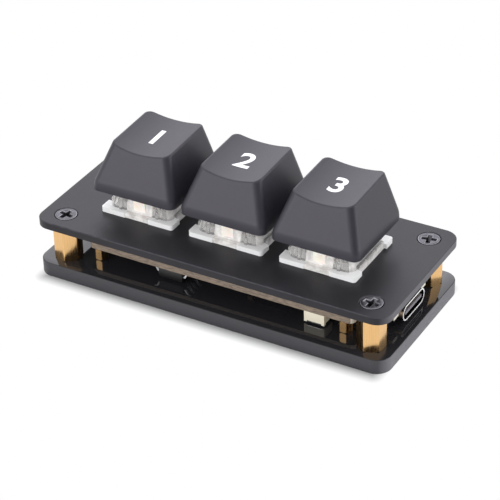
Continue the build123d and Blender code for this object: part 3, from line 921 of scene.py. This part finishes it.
def twoEnded(node, name, places, finish):
    cut = chipPart
    low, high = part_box(node)
    along, across, tall = cut["length"] / 2, cut["width"] / 2, high.z - low.z
    master = brick((-along, -across, -tall), (along, across, 0.0))
    editing(master)
    inner = along - cut["end"]
    for place in (-inner, -inner + cut["edge"], inner - cut["edge"], inner):
        bpy.ops.mesh.select_all(action="SELECT")
        bpy.ops.mesh.bisect(plane_co=(place, 0.0, 0.0), plane_no=(1.0, 0.0, 0.0))
    pick(master, "verts", lambda corner: abs(corner.co.x) < inner - cut["edge"] / 2)
    bpy.ops.transform.resize(value=(1.0, cut["slim"], cut["slim"]), center_override=(0.0, 0.0, 0.0))
    pick(master, "edges", lambda edge: all(abs(corner.co.x) > inner + hair for corner in edge.verts))
    bpy.ops.mesh.bevel(offset=cut["edge"], segments=2)
    objectMode()
    master.data.materials.append(finish.material)
    master.data.materials.append(tinned.material)
    for face in master.data.polygons:
        face.material_index = int(abs(face.center.x) > inner - close)
    copies = [copied(master, (x, y, high.z)) for x, y in places]
    bpy.data.objects.remove(master)
    settle(joined(copies), name, stands=(node,), angle=25.0)


def chipPlaces():  # the places of the capacitors and of the resistors
    cut = chipPart
    control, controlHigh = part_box("controller_chip")
    column = control.x - cut["gap"] - cut["length"] / 2
    rows = [(control.y + controlHigh.y) / 2 + step * cut["step"] for step in (-1, 0, 1)]
    capacitors = [(column, row) for row in rows]
    for node in ("regulator", "flash_chip"):
        low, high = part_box(node)
        capacitors.append(((low.x + high.x) / 2, high.y + cut["gap"]))
    low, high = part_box("resistors")
    ends = (low.y + cut["width"] / 2, high.y - cut["width"] / 2)
    return capacitors, [((low.x + high.x) / 2, end) for end in ends]


# solder round the pins of the switches

solderCut = {
    "foot": 0.95 * mm,
    "sunk": 0.05 * mm,
    "rise": 0.35 * mm,
    "neck": 0.62 * mm,
    "tall": 0.8 * mm,
    "tip": 0.5 * mm,
    "round": 0.12 * mm,
    "sides": 32,
    "pins": ((-3.81 * mm, 2.54 * mm), (2.54 * mm, 5.08 * mm)),  # from the axis of a switch
}


def solderJoints(finish):
    cut = solderCut
    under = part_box("circuit_board")[0].z
    master = rod(cut["foot"], -cut["sunk"], 0.0, cut["sides"])
    editing(master)
    pick(master, "faces", looksDown)
    extrude((0.0, 0.0, -cut["rise"]))
    shrink(cut["neck"] / cut["foot"])
    extrude((0.0, 0.0, cut["rise"] - cut["tall"]))
    shrink(cut["tip"] / cut["neck"])
    bpy.ops.mesh.bevel(offset=cut["round"], segments=3)
    objectMode()
    copies = []
    for key in keyNames:
        low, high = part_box(f"keycap_{key}")
        axis = (low.x + high.x) / 2
        copies += [copied(master, (axis + x, y, under)) for x, y in cut["pins"]]
    bpy.data.objects.remove(master)
    settle(joined(copies), "solder_joints", finish, angle=40.0)


# springs, one wound for each key

springCut = {
    "radius": 1.95 * mm,
    "wire": 0.15 * mm,  # radius
    "turns": 6.5,
    "steps": 40,  # to each turn
    "sides": 12,
    "travel": 4.0 * mm,
}


def springs(finish):
    cut = springCut
    low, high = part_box("spring_left")
    climb = high.z - low.z - 2 * cut["wire"]
    deselect()
    bpy.ops.mesh.primitive_circle_add(vertices=cut["sides"], radius=cut["wire"])
    master = bpy.context.object
    move(master, (cut["radius"], 0.0, 0.0), (pi / 2, 0.0, 0.0))
    steps = round(cut["turns"] * cut["steps"])
    modify(
        master, "SCREW", axis="Z", angle=cut["turns"] * tau, screw_offset=climb,
        steps=steps, render_steps=steps, use_merge_vertices=False,
    )
    editing(master)
    bpy.ops.mesh.fill_holes(sides=0)
    bpy.ops.mesh.select_all(action="SELECT")
    bpy.ops.mesh.normals_make_consistent(inside=False)
    objectMode()
    for key in keyNames:
        low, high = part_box(f"spring_{key}")
        middle = (low + high) / 2
        twin = copied(master, (middle.x, middle.y, low.z + cut["wire"]))
        settle(twin, f"spring_{key}_wound", finish, stands=(f"spring_{key}",), angle=60.0)
        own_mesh(twin)
    bpy.data.objects.remove(master)


# plain numbers printed on the caps

legendCut = {
    "tall": 5.0 * mm,
    "bold": 0.22,
    "oversize": 10,  # typed this much larger, then scaled to its height
    "back": 1.0 * mm,
    "proud": 0.012 * mm,
    "thick": 0.012 * mm,
    "cuts": 3,
}


def typed(word):
    cut = legendCut
    deselect()
    bpy.ops.object.text_add()
    piece = bpy.context.object
    piece.data.body = word
    piece.data.size = cut["oversize"] * cut["tall"]
    piece.data.offset = cut["bold"] * cut["tall"]
    bpy.ops.object.convert(target="MESH")
    return bpy.context.object


def legends(finish):
    cut = legendCut
    for word, key in zip("123", keyNames):
        piece = typed(word)
        corners = [corner.co for corner in piece.data.vertices]
        low = Vector([min(corner[axis] for corner in corners) for axis in (0, 1, 2)])
        high = Vector([max(corner[axis] for corner in corners) for axis in (0, 1, 2)])
        share = cut["tall"] / (high.y - low.y)
        capLow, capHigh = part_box(f"keycap_{key}")
        middle = (capLow + capHigh) / 2
        piece.scale = (share, share, share)
        spot = Vector((middle.x, middle.y + cut["back"], capHigh.z)) - share * (low + high) / 2
        move(piece, spot)
        editing(piece)
        bpy.ops.mesh.remove_doubles(threshold=close)
        bpy.ops.mesh.quads_convert_to_tris()
        bpy.ops.mesh.subdivide(number_cuts=cut["cuts"])
        objectMode()
        modify(
            piece, "SHRINKWRAP", target=nodes[f"keycap_{key}"], wrap_method="PROJECT",
            offset=cut["proud"], use_project_z=True,
            use_negative_direction=True, use_positive_direction=False,
        )
        modify(piece, "SOLIDIFY", thickness=cut["thick"], offset=1.0)
        settle(piece, f"legend_{key}", finish, body=f"key_{key}", angle=40.0)


dress(capCharcoal, *perKey("keycap"))
dress(housingWhite, *perKey("lower_housing"))
dress(housingClear, *perKey("upper_housing"))
dress(guideMilk, *perKey("light_guide"))
dress(ledWhite, *perKey("key_led"))
dress(stemBrown, *perKey("stem"))
dress(contactGold, "usb_contacts", *perKey("contacts"))
dress(plateBlack, "top_plate")
dress(boardMask, "circuit_board")
dress(socketBlack, "usb_insulator")
dress(chipBlack, "controller_chip")
dress(tinned, "controller_pads", "crystal", "boot_switch_cover")
dress(leadBright, "flash_chip_leads", "regulator_leads")
dress(bootCream, "boot_switch_base", "boot_button")

screwSet("top_screws", "top_screws_crossed", screwBlack, 0.0)
screwSet("bottom_screws", "bottom_screws_crossed", screwBlack, pi)
standoffs(brass)
boardPosts(brass)
basePlate(baseGloss)
socketShell(socketSteel)
chipBody("flash_chip", "flash_chip_moulded", -1, chipBlack)
chipBody("regulator", "regulator_moulded", 0, chipBlack)
capacitorPlaces, resistorPlaces = chipPlaces()
twoEnded("capacitors", "capacitors_tinned", capacitorPlaces, capacitorTan)
twoEnded("resistors", "resistors_tinned", resistorPlaces, resistorBlack)
solderJoints(tinned)
springs(springSteel)
legends(legendWhite)
print("pieces modelled")


# studio: pale floor, white surround, soft lamps, dark card, camera

studio = {
    "floorSize": 6.0,
    "floorTone": 0.9,
    "shadowTone": 0.45,  # the floor as it is seen close to the plate
    "shadowReach": 2.3 * mm,  # and white from here on
    "shadowShift": (0.0, -0.7 * mm),
    "shadowTrim": (2.2 * mm, 0.4 * mm),  # it starts this far in from the edges
    "surround": 1.1,
    "surroundColour": (0.985, 0.99, 1.0, 1.0),
    "seen": 1.0,  # the surround in mirrored and clear faces
    "aim": (0.0, 0.0, 12 * mm),  # what the lamps and the card face
    "away": 1.3,  # of the lamps
    "lamps": {  # direction, size, brightness, colour
        "frontLeft": ((-0.45, -0.8, 0.38), 0.8, 2.75, (1.0, 1.0, 1.0)),
        "backLeft": ((-0.42, 0.73, 0.545), 0.9, 1.5, (0.93, 0.91, 1.0)),
        "over": ((-0.42, -0.11, 0.9), 0.6, 1.4, (1.0, 1.0, 1.0)),
        "right": ((0.85, 0.35, 0.3), 1.2, 1.5, (1.0, 1.0, 1.0)),
    },
    "cardPlace": (0.85, -0.6, 0.3),
    "cardSize": (1.3, 0.9),
    "cardTone": 0.01,
    "cardRoughness": 0.9,
}


def rayKinds(tree):  # one for what is looked at, mirrored or seen through, none for light
    kinds = ("Camera", "Glossy", "Transmission")
    rays = [addNode(tree, "ShaderNodeLightPath", output=f"Is {kind} Ray") for kind in kinds]
    looks = rays[0].sum("MAXIMUM", rays[0], rays[1])
    return looks.sum("MAXIMUM", looks, rays[2])


def floor():
    deselect()
    bpy.ops.mesh.primitive_plane_add(size=studio["floorSize"], location=(0, 0, 0))
    plane = bpy.context.object
    plane.name = "floor"
    finish = Finish("floorPale")
    beyond = 0.0
    for axis, half, shift, trim in zip("XY", cadBox[1], studio["shadowShift"], studio["shadowTrim"]):
        past = abs(finish.along(axis) - shift) - (half - trim)
        past = past.sum("MAXIMUM", past, 0.0)
        beyond = past * past + beyond
    sockets = {"Value": beyond.sum("SQRT", beyond), "From Max": studio["shadowReach"]}
    clearing = finish.node("ShaderNodeMapRange", {"clamp": True}, sockets, "Result")
    plain = finish.node("ShaderNodeBsdfDiffuse", sockets={"Color": grey(studio["floorTone"])})
    shaded = finish.node("ShaderNodeBsdfDiffuse", sockets={"Color": grey(studio["shadowTone"])})
    bright = finish.node("ShaderNodeEmission", sockets={"Color": white})
    seen = finish.node("ShaderNodeMixShader", sockets={0: clearing, 1: shaded, 2: bright})
    shaders = {0: rayKinds(finish.tree), 1: plain, 2: seen}
    finish.show(finish.node("ShaderNodeMixShader", sockets=shaders))
    plane.data.materials.append(finish.material)


def surround():
    world = bpy.data.worlds.new("studioWhite")
    bpy.context.scene.world = world
    world.use_nodes = True
    tree = world.node_tree
    light = tree.nodes["Background"]
    plug(tree, light.inputs["Color"], studio["surroundColour"])
    plug(tree, light.inputs["Strength"], studio["surround"])
    seen = addNode(tree, "ShaderNodeBackground", sockets={"Color": white, "Strength": studio["seen"]})
    shaders = {0: rayKinds(tree), 1: Shade(tree, light.outputs[0]), 2: seen}
    mixed = addNode(tree, "ShaderNodeMixShader", sockets=shaders)
    plug(tree, tree.nodes["World Output"].inputs["Surface"], mixed)


def aimed(place):  # a turn that looks from a place to the keypad
    return (Vector(studio["aim"]) - Vector(place)).to_track_quat("-Z", "Y").to_euler()


def lamps():
    for name, (direction, size, bright, colour) in studio["lamps"].items():
        place = Vector(direction).normalized() * studio["away"]
        bpy.ops.object.light_add(type="AREA", location=place, rotation=aimed(place))
        light = bpy.context.object
        light.name = name
        light.data.size = size
        light.data.color = colour
        light.data.energy = bright * pi * size ** 2  # as bright at any size
        light.visible_camera = False


def card():  # a dark card beside the camera, for the shaded edges of the caps
    place = studio["cardPlace"]
    deselect()
    bpy.ops.mesh.primitive_plane_add(size=1.0, location=place, rotation=aimed(place))
    plane = bpy.context.object
    plane.name = "darkCard"
    plane.scale = studio["cardSize"] + (1.0,)
    finish = Finish("cardBlack", Base_Color=grey(studio["cardTone"]), Roughness=studio["cardRoughness"])
    plane.data.materials.append(finish.material)
    plane.visible_camera = False
    plane.visible_diffuse = False
    plane.visible_transmission = False


view = {
    "place": (166.71 * mm, -284.635 * mm, 219.24 * mm),
    "turn": (57.205, 1.324, 29.372),  # degrees: tip, roll, heading
    "lens": 150.5,
    "sensor": 36.0,
    "near": 10 * mm,
}


def camera():
    bpy.ops.object.camera_add(location=view["place"], rotation=[radians(turn) for turn in view["turn"]])
    lens = bpy.context.object
    lens.data.lens = view["lens"]
    lens.data.sensor_width = view["sensor"]
    lens.data.clip_start = view["near"]
    bpy.context.scene.camera = lens


floor()
surround()
lamps()
card()
camera()
bpy.context.scene.view_settings.view_transform = "Standard"
print("studio set")
